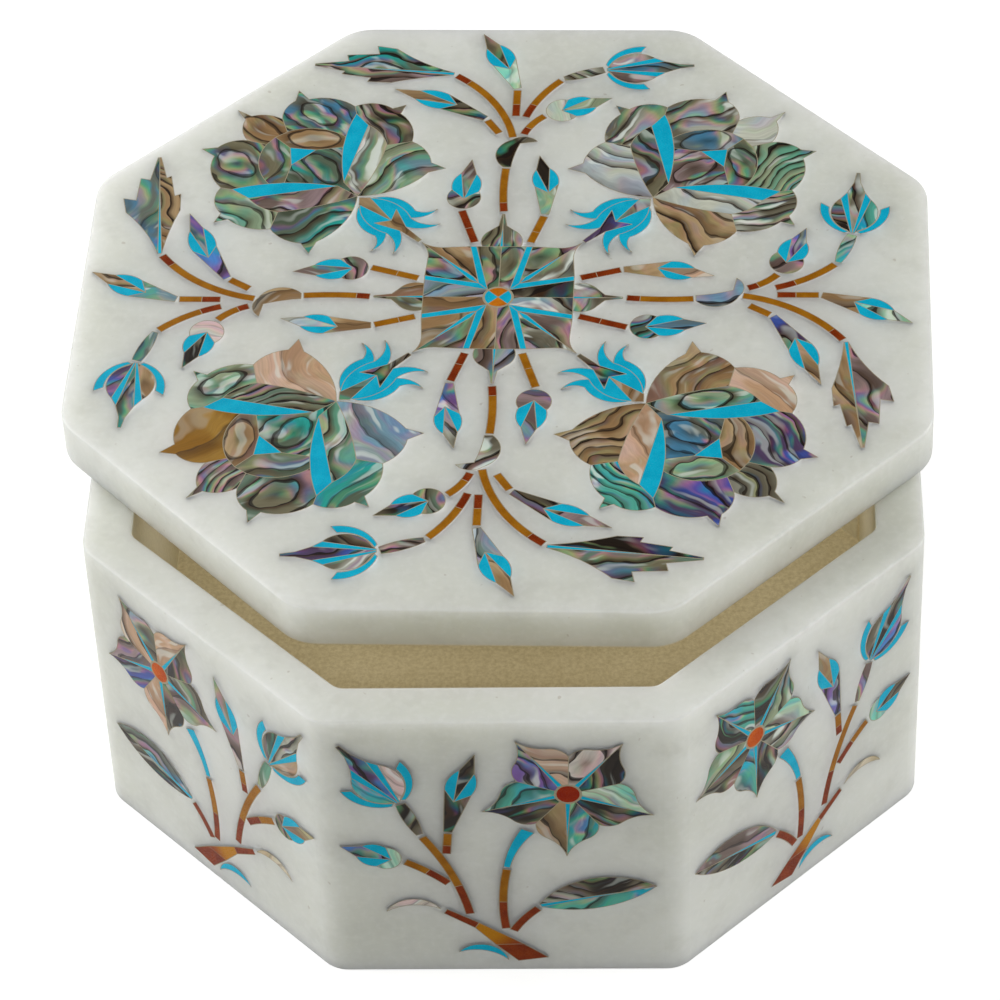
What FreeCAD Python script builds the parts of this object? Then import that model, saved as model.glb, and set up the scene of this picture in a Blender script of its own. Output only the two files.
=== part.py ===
import FreeCAD, Part
import math
import os

# A white marble box, octagonal in plan, with a loose lid.  A flower pattern of shell and coloured
# stone is let into the lid and the eight walls.  Every inlaid chip is a solid of its own, in a
# pocket with a thin line of cement round it.  Millimetres, +Z up, the front wall faces -Y, and the
# origin is the centre of the box's underside.

# Box
base_across_flats = 100.0
base_height = 42.5
wall_thickness = 5.7
floor_thickness = 6.0
base_corner_radius = 4.0
cavity_corner_radius = 2.0
base_edge_radius = 0.3

# Lid, with a low tongue underneath that drops into the cavity when the lid is shut
lid_overhang = 2.5
lid_thickness = 6.2
lid_corner_radius = 6.0
lid_edge_radius = 0.3
tongue_height = 1.5
tongue_clearance = 2.3

# How the lid lies: pushed back, a little askew, its tongue riding on the two rear corner walls
lid_setback = 15.4
lid_shift = -0.5
lid_yaw = -1.3
lid_rest_gap = 0.1

# Inlay: depth of the chips, cement between neighbours, width of the stems, and the plain marble
# left round the pattern
inlay_depth = 1.0
cement_line = 0.1
stem_width = 1.0
lid_border = 1.7
wall_side_border = 0.2
wall_top_border = 3.1
lid_pattern_shift_x = -0.6
lid_pattern_shift_y = 0.6

WALLS = ["front", "front_right", "right", "rear_right", "rear", "rear_left", "left", "front_left"]
KINDS = ["shell", "turquoise", "ochre_stems", "red_stone"]

# Sizes that follow
lid_across_flats = base_across_flats + 2 * lid_overhang
cavity_across_flats = base_across_flats - 2 * wall_thickness
tongue_across_flats = cavity_across_flats - 2 * tongue_clearance
side_angle = 2 * math.pi / len(WALLS)
half_corner = math.tan(side_angle / 2)
diagonal = math.sqrt(2)
cutter_rise = inlay_depth
merge_distance = cement_line / 50


# Outlines.  An outline is a list of points: a tuple is a corner, and a list is a point that the
# arc between the corners before and after it passes through.

def mapped(outline, origin, x_dir, y_dir):
    """The outline with its own x and y laid along two directions from an origin."""
    def place(point):
        x, y = point
        return type(point)(origin[axis] + x * x_dir[axis] + y * y_dir[axis] for axis in (0, 1))
    return [place(point) for point in outline]


def mirrored(outline):
    """The outline mirrored in its own x axis."""
    return mapped(outline, (0, 0), (1, 0), (0, -1))


def swapped(outline):
    """The outline mirrored in the diagonal of its quadrant."""
    return mapped(outline, (0, 0), (0, 1), (1, 0))


def mapped_motif(motif, origin, x_dir, y_dir):
    return {kind: [mapped(outline, origin, x_dir, y_dir) for outline in motif[kind]] for kind in motif}


def joined(*motifs):
    """One motif that holds the chips of several."""
    return {kind: [outline for motif in motifs for outline in motif.get(kind, [])] for kind in KINDS}


def along(start, end):
    """Origin and directions of a frame that starts at one point and has its x axis towards another."""
    length = math.dist(start, end)
    x_dir = ((end[0] - start[0]) / length, (end[1] - start[1]) / length)
    return start, x_dir, (-x_dir[1], x_dir[0])


def stem(start, end, bow=0.0, red_from=0.0, red_to=0.0):
    """A stem bowed to the left of its run, in ochre with a stretch of red stone let in."""
    origin, x_dir, y_dir = along(start, end)
    length = math.dist(start, end)
    half = stem_width / 2

    def side(share, offset):
        slope = 4 * bow * (1 - 2 * share) / length
        lean = math.hypot(1, slope)
        x = share * length - offset * slope / lean
        y = 4 * bow * share * (1 - share) + offset / lean
        return x, y

    def stretch(first, last):
        middle = (first + last) / 2
        outline = [side(first, -half), list(side(middle, -half)), side(last, -half)]
        outline += [side(last, half), list(side(middle, half)), side(first, half)]
        if bow == 0:
            outline = [point for point in outline if isinstance(point, tuple)]
        return mapped(outline, origin, x_dir, y_dir)

    ochre = [stretch(first, last) for first, last in ((0, red_from), (red_to, 1)) if last > first]
    red = [stretch(red_from, red_to)] if red_to > red_from else []
    return {"ochre_stems": ochre, "red_stone": red}


def bud(foot, heart, tip, half_width, cap):
    """A bud: a shell core between two turquoise flanks, in a shell cap, round or drawn out to the foot."""
    length = math.dist(heart, tip)
    arm = (0.2 * length, 0.9 * half_width)
    shoulder = (0.64 * length, 0.5 * half_width)
    flank = [(0, 0), shoulder, [0.43 * length, 0.95 * half_width], arm]
    core = [(0, 0), mirrored([shoulder])[0], (length, 0), shoulder]
    origin, x_dir, y_dir = along(heart, tip)
    turquoise = [flank, mirrored(flank)]
    shell = [core]
    if cap == "round":
        reach = math.dist(foot, heart)
        shell.append([(0, 0), arm, [-reach, 0], mirrored([arm])[0]])
        shell = [mapped(outline, origin, x_dir, y_dir) for outline in shell]
    else:
        shell = [mapped(outline, origin, x_dir, y_dir) for outline in shell]
        arms = mapped([arm, mirrored([arm])[0]], origin, x_dir, y_dir)
        _, foot_dir, foot_side = along(foot, heart)
        neck = mapped([(0, stem_width / 2), (0, -stem_width / 2)], foot, foot_dir, foot_side)
        shell.append([heart, arms[0], neck[0], neck[1], arms[1]])
    return {"shell": shell, "turquoise": [mapped(outline, origin, x_dir, y_dir) for outline in turquoise]}


def lotus(foot, heart, tip):
    """A half-open flower: a shell body in three, parted by turquoise wedges, with two turquoise sepals."""
    sepal = [(0.3, 1.0), [2.2, 3.5], (5.7, 4.3), (5.0, 3.2), [2.3, 2.5], (0.6, 0.5)]
    cheek = [(0.4, 0.25), (6.7, 1.9), [3.2, 2.8], (0.9, 0.75)]
    wedge = [(0.4, 0.0), (8.0, 1.1), (6.7, 1.9), (0.4, 0.25)]
    body = [(0.4, 0.0), (8.0, -1.1), (9.9, -0.4), (11.7, -0.2), (11.7, 0.2), (9.9, 0.4), (8.0, 1.1)]
    collar = [(0.0, 0.4), (0.0, -0.4), [0.5, -0.8], (1.0, -0.6), (1.0, 0.6), [0.5, 0.8]]
    stretch = math.dist(heart, tip) / body[3][0]
    origin, x_dir, y_dir = along(heart, tip)
    x_dir = (x_dir[0] * stretch, x_dir[1] * stretch)
    y_dir = (y_dir[0] * stretch, y_dir[1] * stretch)
    motif = {"shell": [body, cheek, mirrored(cheek)],
             "turquoise": [wedge, mirrored(wedge), sepal, mirrored(sepal)]}
    motif = mapped_motif(motif, origin, x_dir, y_dir)
    reach = math.dist(foot, heart)
    start, foot_dir, foot_side = along(foot, heart)
    motif["shell"].append(mapped(collar, start, (foot_dir[0] * reach, foot_dir[1] * reach), foot_side))
    return motif


def toothed_leaf(foot, tip):
    """A long leaf with stepped edges: a broad and a narrow shell half on a turquoise rib."""
    rib = [(0.0, 0.25), (0.0, -0.25), (14.5, 0.0)]
    broad = [(0.0, -0.25), [4.0, -1.7], (8.2, -4.3), (10.9, -4.6), (10.4, -3.0), (14.6, -2.4), (14.2, -1.2),
             (18.5, -0.2), (18.5, 0.0), (14.5, 0.0)]
    narrow = [(0.0, 0.25), (14.5, 0.0), (18.5, 0.0), (18.5, 0.2), (14.4, 0.9), (14.7, 1.5), (10.8, 1.9),
              (11.1, 2.7), (8.0, 2.6), [4.0, 1.2]]
    stretch = math.dist(foot, tip) / broad[-2][0]
    origin, x_dir, y_dir = along(foot, tip)
    x_dir = (x_dir[0] * stretch, x_dir[1] * stretch)
    y_dir = (y_dir[0] * stretch, y_dir[1] * stretch)
    return mapped_motif({"shell": [broad, narrow], "turquoise": [rib]}, origin, x_dir, y_dir)


# Lid pattern, drawn about its own centre

def rose():
    """A rose in one quadrant, growing along the diagonal, with the calyx that joins it to the medallion."""
    base = (18.7, 18.7)
    blade_root = (20.6, 21.3)
    blade_fold = (21.2, 28.2)
    blade_edge = (21.0, 30.2)
    blade_tip = (19.9, 34.8)
    blade_corner = (18.2, 32.5)
    petal_joint = (15.6, 28.6)
    petal_notch = (12.4, 29.3)
    top_notch = (20.2, 36.2)
    corner_notch = (29.4, 33.6)
    heart_crown = (30.05, 30.05)
    heart_side = (28.6, 31.1)
    gem_top = (24.6, 27.6)
    gem_corner = (28.0, 28.0)
    leaf_back = [16.6, 24.2]
    leaf_crown = [16.5, 30.8]
    leaf_front = [19.5, 26.5]
    blade_lower = [21.1, 24.8]
    blade_upper = [20.6, 32.5]
    heart_rim = [24.9, 31.8]

    def other(point):
        return swapped([point])[0]

    blade = [blade_root, blade_lower, blade_fold, blade_edge, blade_upper, blade_tip, blade_corner,
             leaf_front]
    leaf = [base, leaf_back, petal_joint, leaf_crown, blade_corner, leaf_front, blade_root]
    flank_petal = [base, [13.4, 20.2], (10.0, 23.3), (7.8, 24.1), (9.7, 25.2), [10.5, 27.5], petal_notch,
                   petal_joint, leaf_back]
    side_petal = [petal_joint, petal_notch, [12.6, 32.3], (14.2, 34.8), (13.6, 36.5), (15.3, 35.8),
                  [17.6, 36.8], top_notch, blade_tip, blade_corner, leaf_crown]
    top_petal = [blade_tip, top_notch, [23.4, 37.8], (26.3, 37.6), (27.7, 39.3), (28.0, 37.3), [29.2, 35.6],
                 corner_notch, heart_side, heart_rim, blade_edge, blade_upper]
    corner_petal = [heart_side, corner_notch, [31.4, 34.4], (33.5, 34.2), (35.3, 35.3), (34.2, 33.5),
                    [34.4, 31.4], other(corner_notch), other(heart_side), heart_crown]
    heart_fold = [blade_fold, gem_top, gem_corner, heart_crown, heart_side, heart_rim, blade_edge]
    heart = [base, other(blade_root), other(blade_lower), other(blade_fold), other(gem_top), gem_top,
             blade_fold, blade_lower, blade_root]
    gem = [gem_top, gem_corner, other(gem_top)]

    spear_side = (17.1, 18.4)
    spear_tip = (14.1, 14.1)
    prong = (13.6, 16.2)
    prong_root = (12.2, 12.9)
    flame_root = (16.8, 18.3)
    flame_notch = (11.7, 14.6)
    flame_seam = [13.7, 17.2]
    spear = [(18.4, 18.4), spear_side, spear_tip, other(spear_side)]
    fork = [(10.1, 10.5), prong_root, prong, spear_tip, other(prong), other(prong_root), (10.5, 10.1)]
    outer_flame = [flame_root, [13.2, 18.1], (11.2, 16.0), [9.9, 15.7], (8.4, 16.3), [9.8, 15.0],
                   flame_notch, flame_seam]
    inner_flame = [flame_root, flame_seam, flame_notch, [10.5, 13.7], (7.9, 13.5), [10.3, 12.6], prong_root,
                   prong, spear_tip, spear_side]

    paired_shell = [leaf, flank_petal, side_petal, top_petal, heart_fold]
    paired_turquoise = [blade, outer_flame, inner_flame]
    shell = paired_shell + [swapped(outline) for outline in paired_shell]
    turquoise = paired_turquoise + [swapped(outline) for outline in paired_turquoise]
    return {"shell": shell + [corner_petal, heart, spear, fork], "turquoise": turquoise + [gem]}


def branch():
    """A spray along +x: buds, a lotus on the right-hand side and a toothed leaf on the left-hand side."""
    curled_leaf = [(24.4, 0.5), (24.4, -0.5), [26.9, -0.9], (29.0, -1.5), (29.4, -3.7), [30.3, -2.2],
                   (29.7, -0.4), [27.3, 1.5]]
    stems = joined(
        stem((15.9, 0.0), (24.1, 0.1), 0.2, 0.0, 0.2),
        stem((30.2, -0.5), (42.4, 7.3), -1.4, 0.86, 1.0),
        stem((31.0, 1.3), (33.5, 2.9), 0.0, 0.0, 0.0),
        stem((34.4, -0.7), (39.5, -0.7), 0.0, 0.0, 0.45),
        stem((34.2, -2.0), (41.5, -6.3), 0.5, 0.0, 0.3),
        stem((30.8, -1.9), (34.4, -4.4), 0.3, 0.0, 0.3),
        stem((10.1, 3.4), (16.0, 5.3), 0.0, 0.45, 1.0),
        stem((10.1, -3.6), (15.0, -5.1), 0.0, 0.0, 0.4))
    buds = joined(
        bud((16.4, 5.3), (18.3, 5.2), (25.8, 4.5), 1.9, "round"),
        bud((15.4, -5.2), (19.5, -5.5), (26.6, -4.1), 1.7, "tapered"),
        bud((33.9, 3.2), (36.6, 7.0), (39.7, 15.2), 1.7, "tapered"),
        bud((39.9, -0.7), (43.8, 0.5), (50.9, 4.2), 1.8, "tapered"),
        bud((34.8, -4.7), (35.5, -6.6), (38.0, -13.0), 1.9, "round"))
    flower = lotus((41.9, -6.7), (43.7, -11.8), (44.6, -23.5))
    leaf = toothed_leaf((42.8, 7.7), (44.6, 26.0))
    return joined(stems, buds, flower, leaf, {"shell": [curled_leaf]})


def medallion():
    """The square centre with eight turquoise rays, four ogee points and a quartered disc."""
    hub = 1.9
    disc = 1.7
    edge = 9.3
    fork = (2.55, 2.55)
    ray_root = (hub / diagonal, hub / diagonal)
    ray_out = (3.1, edge)
    ray_in = (3.9, edge)
    spine = (8.2, 8.2)
    spine_side = (3.2, 3.7)
    corner = (10.0, 10.0)
    ray = [ray_root, fork, ray_in, ray_out]
    thin_ray = [fork, swapped([spine_side])[0], spine, spine_side]
    corner_chip = [fork, spine_side, spine, corner, [8.4, 9.2], (6.8, 9.1), ray_in]
    hub_side = [hub * math.sin(math.pi / 8), hub * math.cos(math.pi / 8)]
    sector = [(0.0, hub), hub_side, ray_root, ray_out, (0.0, edge)]
    rib_side = (0.2, edge)
    rib_tip = (0.0, 13.6)
    point = [rib_side, (2.4, edge), [2.5, 10.9], (1.5, 12.3), (0.5, 13.2), (0.15, 15.4), (0.0, 15.4),
             rib_tip]
    point_rib = [rib_side, rib_tip, (-rib_side[0], edge)]
    disc_side = disc / diagonal
    quarter = [(0.0, 0.0), (disc_side, disc_side), [0.0, disc], (-disc_side, disc_side)]

    half_shell = [corner_chip, sector, point]
    shell = half_shell + [swapped(outline) for outline in half_shell]
    turquoise = [ray, swapped(ray), thin_ray]
    quadrants = [mapped_motif({"shell": shell, "turquoise": turquoise}, (0, 0), (sx, 0), (0, sy))
                 for sx in (1, -1) for sy in (1, -1)]
    lone = []
    for turn, kind in enumerate(["red_stone", "turquoise", "red_stone", "turquoise"]):
        cos, sin = [(1, 0), (0, 1), (-1, 0), (0, -1)][turn]
        lone.append(mapped_motif({kind: [quarter]}, (0, 0), (cos, sin), (-sin, cos)))
        lone.append(mapped_motif({"turquoise": [point_rib]}, (0, 0), (cos, sin), (-sin, cos)))
    return joined(*quadrants, *lone)


def lid_pattern():
    """Every motif of the lid by name, at the size and place it has there."""
    drawn = {"medallion": medallion()}
    for name, across, up in (("ne", 1, 1), ("nw", -1, 1), ("sw", -1, -1), ("se", 1, -1)):
        drawn[name + "_rose"] = mapped_motif(rose(), (0, 0), (across, 0), (0, up))
    for name, x_dir, y_dir in (("north", (0, 1), (-1, 0)), ("east", (1, 0), (0, -1)),
                               ("south", (0, -1), (1, 0)), ("west", (-1, 0), (0, 1))):
        drawn[name + "_branch"] = mapped_motif(branch(), (0, 0), x_dir, y_dir)
    points = [point for motif in drawn.values() for line in sum(motif.values(), []) for point in line]
    reach = max(max(abs(x), abs(y), (abs(x) + abs(y)) / diagonal) for x, y in points)
    scale = (lid_across_flats / 2 - lid_border) / reach
    shift = (lid_pattern_shift_x, lid_pattern_shift_y)
    return {name: mapped_motif(motif, shift, (scale, 0), (0, scale)) for name, motif in drawn.items()}


# Wall pattern, drawn with x along the wall from its middle and y up from the underside

def star_flower(centre, first_angle):
    """Five pointed petals, each two shell halves on a turquoise ray, round a red eye."""
    petals = 5
    eye = 1.6
    half_turn = math.pi / petals
    notch = (6.2 * math.cos(half_turn), 6.2 * math.sin(half_turn))
    eye_side = (eye * math.cos(half_turn), eye * math.sin(half_turn))
    ray = [(eye, 0.3), (eye, -0.3), (8.4, 0.0)]
    half_petal = [(eye, 0.3), (8.4, 0.0), (10.5, 0.0), [8.7, 0.9], (7.5, 2.3), [6.6, 3.3], notch, eye_side]
    petal = {"shell": [half_petal, mirrored(half_petal)], "turquoise": [ray]}
    turned = []
    for number in range(petals):
        angle = math.radians(first_angle) + number * 2 * half_turn
        x_dir = (math.cos(angle), math.sin(angle))
        turned.append(mapped_motif(petal, centre, x_dir, (-x_dir[1], x_dir[0])))
    disc = eye - 2 * cement_line
    eye_outline = [(disc, 0.0), [0.0, disc], (-disc, 0.0), [0.0, -disc]]
    return joined(*turned, {"red_stone": [mapped(eye_outline, centre, (1, 0), (0, 1))]})


def wall_spray():
    """The spray on a wall: star flower, lotus, two buds and a leaf, all out of one root."""
    leaf_tip = (18.1, 14.8)
    rib_end = (15.5, 14.15)
    leaf_top = [(4.2, 11.75), rib_end, leaf_tip, [10.6, 16.2]]
    leaf_bottom = [(4.5, 11.25), [12.4, 11.4], leaf_tip, rib_end]
    leaf_rib = [(4.2, 11.75), (4.5, 11.25), rib_end]
    stalk = [(2.4, 24.8), (3.9, 24.1), [2.0, 21.3], (0.9, 18.1), (0.1, 18.3), [1.0, 21.8]]
    root_neck = [(-7.2, 10.2), (-3.6, 7.6), (-3.1, 8.5), (-6.8, 10.9)]
    root_body = [(-3.6, 7.6), (-1.2, 4.6), (2.1, 4.7), (-3.1, 8.5)]
    root_foot = [(-1.2, 4.6), (1.4, 1.7), (5.0, 2.3), (2.1, 4.7)]
    sucker = [(-5.7, 3.3), [-2.7, 3.6], (0.2, 1.9), [-2.4, 4.6]]
    sliver = [(-7.6, 11.0), [-10.9, 12.7], (-14.0, 10.6), [-10.9, 11.7]]
    loose = {"shell": [leaf_top, leaf_bottom, sliver], "turquoise": [leaf_rib, stalk, sucker],
             "ochre_stems": [root_body], "red_stone": [root_neck, root_foot]}
    stems = joined(
        stem((0.1, 7.5), (0.5, 17.8), 0.4, 0.0, 0.45),
        stem((1.0, 7.1), (4.0, 11.0), 0.2, 0.0, 1.0),
        stem((-4.1, 10.1), (-9.2, 23.4), -0.7, 0.0, 0.35),
        stem((-6.5, 15.5), (-11.4, 19.2), -0.2, 0.0, 0.5),
        stem((-6.5, 20.6), (-6.2, 24.0), 0.0, 0.0, 0.4))
    buds = joined(
        bud((-6.2, 24.3), (-5.3, 29.4), (-2.6, 37.2), 1.8, "tapered"),
        bud((-11.9, 19.4), (-13.0, 19.6), (-18.9, 21.9), 1.9, "round"))
    flower = star_flower((8.0, 30.6), 52.0)
    return joined(loose, stems, buds, flower, lotus((-9.5, 23.9), (-11.5, 29.0), (-18.3, 38.7)))


def wall_pattern():
    """The spray at the size that fits a wall."""
    drawn = wall_spray()
    points = [point for line in sum(drawn.values(), []) for point in line]
    flat_half = (base_across_flats / 2 - base_corner_radius) * half_corner
    across = (flat_half - wall_side_border) / max(abs(x) for x, y in points)
    upward = (base_height - wall_top_border) / max(y for x, y in points)
    scale = min(across, upward)
    return mapped_motif(drawn, (0, 0), (scale, 0), (0, scale))


# Solids

def wire_of(outline):
    points = [FreeCAD.Vector(x, y, 0) for x, y in outline]
    corners = [number for number, point in enumerate(outline) if isinstance(point, tuple)]
    edges = []
    for first, last in zip(corners, corners[1:] + [corners[0] + len(outline)]):
        start = points[first]
        end = points[last % len(outline)]
        if last - first == 1:
            edges.append(Part.makeLine(start, end))
        else:
            edges.append(Part.Arc(start, points[(first + 1) % len(outline)], end).toShape())
    return Part.Wire(edges)


def flat(outline, offset):
    """The face inside an outline, its edge moved outwards by an offset."""
    return Part.Face(wire_of(outline)).makeOffset2D(offset).Faces[0]


def chips(outlines):
    faces = [flat(outline, -cement_line / 2) for outline in outlines]
    return [face.extrude(FreeCAD.Vector(0, 0, -inlay_depth)) for face in faces]


def pockets(*motifs):
    """The hollows cut for the chips of some motifs: neighbouring chips share one hollow."""
    reach = lid_across_flats
    sheet = Part.makePlane(2 * reach, 2 * reach, FreeCAD.Vector(-reach, -reach, 0))
    outlines = sum(joined(*motifs).values(), [])
    sheet = sheet.cut([flat(outline, cement_line / 2) for outline in outlines], merge_distance)
    marble = max(sheet.Faces, key=lambda face: face.Area)
    beds = [Part.Face(wire) for wire in marble.Wires if not wire.isSame(marble.OuterWire)]
    for bed in beds:
        bed.translate(FreeCAD.Vector(0, 0, cutter_rise))
    depth = cutter_rise + inlay_depth + cement_line
    return [bed.extrude(FreeCAD.Vector(0, 0, -depth)) for bed in beds]


def octagon(across_flats, corner_radius, bottom, height):
    """An eight-sided prism with rounded upright corners."""
    outline = []
    centre = (across_flats / 2 - corner_radius) / math.cos(side_angle / 2)
    for number in range(len(WALLS)):
        before = number * side_angle
        corner = before + side_angle / 2
        arc = [(centre * math.cos(corner) + corner_radius * math.cos(angle),
                centre * math.sin(corner) + corner_radius * math.sin(angle))
               for angle in (before, corner, before + side_angle)]
        outline += [arc[0], list(arc[1]), arc[2]]
    face = Part.Face(wire_of(outline))
    face.translate(FreeCAD.Vector(0, 0, bottom))
    return face.extrude(FreeCAD.Vector(0, 0, height))


def level_edges(solid, *heights):
    """The edges of a solid that lie flat at the given heights."""
    close = 1e-6

    def lies_at(box, height):
        return abs(box.ZMin - height) < close and abs(box.ZMax - height) < close
    return [edge for edge in solid.Edges if any(lies_at(edge.BoundBox, height) for height in heights)]


def base_body():
    body = octagon(base_across_flats, base_corner_radius, 0, base_height)
    cavity_height = base_height - floor_thickness
    body = body.cut(octagon(cavity_across_flats, cavity_corner_radius, floor_thickness, cavity_height))
    return body.makeFillet(base_edge_radius, level_edges(body, 0, base_height))


def lid_slab():
    slab = octagon(lid_across_flats, lid_corner_radius, 0, lid_thickness)
    slab = slab.makeFillet(lid_edge_radius, level_edges(slab, 0, lid_thickness))
    return slab.fuse(octagon(tongue_across_flats, cavity_corner_radius, -tongue_height, tongue_height))


def lid_pose():
    """The lid's place: its plate on the side walls' rims in front, its tongue on the rear corner walls."""
    inner = cavity_across_flats / 2
    front = lid_setback + inner - lid_across_flats / 2 * diagonal
    rear = inner * diagonal - tongue_across_flats / 2
    tilt = math.atan2(tongue_height, rear - front)
    rise = base_height + lid_rest_gap + (lid_setback - front) * math.tan(tilt)
    turn = FreeCAD.Rotation(FreeCAD.Vector(1, 0, 0), math.degrees(tilt))
    turn = turn.multiply(FreeCAD.Rotation(FreeCAD.Vector(0, 0, 1), lid_yaw))
    return FreeCAD.Placement(FreeCAD.Vector(lid_shift, lid_setback, rise), turn)


def wall_place(number):
    """The frame of a wall: x along it, y up, z out of it."""
    upright = FreeCAD.Rotation(FreeCAD.Vector(1, 0, 0), 90)
    around = FreeCAD.Rotation(FreeCAD.Vector(0, 0, 1), math.degrees(side_angle) * number)
    out = around.multVec(FreeCAD.Vector(0, -base_across_flats / 2, 0))
    return FreeCAD.Placement(out, around.multiply(upright))


def placed(shapes, placement):
    return [shape.transformed(placement.toMatrix()) for shape in shapes]


def save(node, shapes):
    Part.makeCompound(shapes).exportStep("parts/" + node + ".step")


def build_box():
    spray = wall_pattern()
    sprays = [spray, mapped_motif(spray, (0, 0), (-1, 0), (0, 1))]
    hollows = [pockets(motif) for motif in sprays]
    cutters = []
    for number, wall in enumerate(WALLS):
        place = wall_place(number)
        cutters += placed(hollows[number % 2], place)
        for kind in KINDS:
            save(wall + "_wall_" + kind, placed(chips(sprays[number % 2][kind]), place))
    save("base_body", base_body().cut(cutters).Solids)


def build_lid():
    pose = lid_pose()
    surface = pose.multiply(FreeCAD.Placement(FreeCAD.Vector(0, 0, lid_thickness), FreeCAD.Rotation()))
    pattern = lid_pattern()
    red = []
    for name, motif in pattern.items():
        for kind in KINDS:
            solids = placed(chips(motif.get(kind, [])), surface)
            if kind == "red_stone":
                red += solids
            elif solids:
                save("lid_" + name + "_" + kind, solids)
    save("lid_red_stone", red)
    cutters = placed(pockets(*pattern.values()), surface)
    save("lid_slab", lid_slab().transformed(pose.toMatrix()).cut(cutters).Solids)


os.makedirs("parts", exist_ok=True)
build_box()
build_lid()
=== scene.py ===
import math
import random

import bmesh
import bpy
import numpy as np
from mathutils import Matrix, Vector
from mathutils.geometry import delaunay_2d_cdt


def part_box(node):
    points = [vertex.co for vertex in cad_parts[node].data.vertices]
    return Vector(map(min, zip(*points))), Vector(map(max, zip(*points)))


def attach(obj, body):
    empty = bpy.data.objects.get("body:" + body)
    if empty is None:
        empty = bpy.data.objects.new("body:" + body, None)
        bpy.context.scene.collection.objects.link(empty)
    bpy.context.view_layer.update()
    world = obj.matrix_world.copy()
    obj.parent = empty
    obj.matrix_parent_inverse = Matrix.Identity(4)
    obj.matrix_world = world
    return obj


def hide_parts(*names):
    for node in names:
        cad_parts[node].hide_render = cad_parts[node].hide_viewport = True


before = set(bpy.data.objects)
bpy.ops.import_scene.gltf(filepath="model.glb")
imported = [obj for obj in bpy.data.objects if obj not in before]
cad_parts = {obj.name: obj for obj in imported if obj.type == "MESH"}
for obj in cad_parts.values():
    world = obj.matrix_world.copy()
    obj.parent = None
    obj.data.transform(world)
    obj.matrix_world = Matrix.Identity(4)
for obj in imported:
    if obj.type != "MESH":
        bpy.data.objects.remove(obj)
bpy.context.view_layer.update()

# An octagonal white marble box with a loose lid.  Lid and walls are inlaid with flowers of abalone
# shell, turquoise and ochre and red stone.  Metres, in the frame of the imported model.

MM = 0.001

# Camera: where it stands, how it is turned, its focal length as a share of the picture's width, and
# the distance at which it begins to see
CAMERA_PLACE = (21.807 * MM, -406.738 * MM, 406.929 * MM)
CAMERA_YAW = -0.0563
CAMERA_PITCH = 0.7458
CAMERA_ROLL = -0.0462
FOCAL_SHARE = 4.488
SENSOR_WIDTH = 36.0
NEAREST_SEEN = 0.01

# Inlay: thickness of the chips, how far the cement lies under the polished surface, and its thickness
CHIP_DEPTH = 1.0 * MM
CEMENT_SINK = 0.02 * MM
CEMENT_DEPTH = 0.5 * MM

WALLS = ["front", "front_right", "right", "rear_right", "rear", "rear_left", "left", "front_left"]
WALL_TURN = 2 * math.pi / len(WALLS)
ROSES = {"ne": (1, 1), "nw": (-1, 1), "sw": (-1, -1), "se": (1, -1)}


def srgb(red, green, blue):
    """A colour given as it looks on screen, 0 to 255, in the linear values that materials take."""
    def linear(value):
        share = value / 255
        return share / 12.92 if share <= 0.04045 else ((share + 0.055) / 1.055) ** 2.4
    return (linear(red), linear(green), linear(blue), 1.0)


# Surfaces that carry inlay

class Surface:
    """A flat polished face: its own x and y lie in the face and z points out of it."""

    def __init__(self, origin, x_axis, y_axis):
        self.origin = np.array(origin, float)
        z_axis = np.cross(x_axis, y_axis)
        self.axes = np.array([x_axis, y_axis, z_axis], float)

    def flat(self, points):
        """Points of the part, as the surface counts them."""
        return (np.asarray(points, float) - self.origin) @ self.axes.T

    def solid(self, points):
        """Points counted in the surface, as points of the part."""
        return np.asarray(points, float) @ self.axes + self.origin


def node_points(node):
    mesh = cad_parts[node].data
    points = np.empty(len(mesh.vertices) * 3, np.float32)
    mesh.vertices.foreach_get("co", points)
    return points.reshape(-1, 3).astype(float)


def wall_surface(number):
    low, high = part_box("base_body")
    angle = number * WALL_TURN
    out = np.array([math.sin(angle), -math.cos(angle), 0.0])
    along = np.array([math.cos(angle), math.sin(angle), 0.0])
    return Surface(out * (high.x - low.x) / 2, along, (0.0, 0.0, 1.0))


def lid_surface():
    """The lid's top, found from its four roses, which mirror each other."""
    middles = {}
    for name in ROSES:
        points = node_points(f"lid_{name}_rose_turquoise")
        middles[name] = (points.min(0) + points.max(0)) / 2
    x_axis = sum(middles[name] * ROSES[name][0] for name in ROSES)
    y_axis = sum(middles[name] * ROSES[name][1] for name in ROSES)
    x_axis /= np.linalg.norm(x_axis)
    y_axis -= x_axis * (x_axis @ y_axis)
    y_axis /= np.linalg.norm(y_axis)
    surface = Surface(sum(middles.values()) / len(middles), x_axis, y_axis)
    top = surface.flat(node_points("lid_medallion_shell"))[:, 2].max()
    surface.origin = surface.solid([[0.0, 0.0, top]])[0]
    return surface


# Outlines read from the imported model

# Points nearer to each other than this are one point
WELD_DISTANCE = 1e-7

# A face is part of a surface if it lies this near to it and points out of it by more than this share
LEVEL_TOLERANCE = 0.005 * MM
LEAST_FACING = 0.99


def welded(node):
    """The mesh of a CAD node, with its faces joined along their edges."""
    mesh = bmesh.new()
    mesh.from_mesh(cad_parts[node].data)
    bmesh.ops.remove_doubles(mesh, verts=mesh.verts, dist=WELD_DISTANCE)
    mesh.normal_update()
    return mesh


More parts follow.
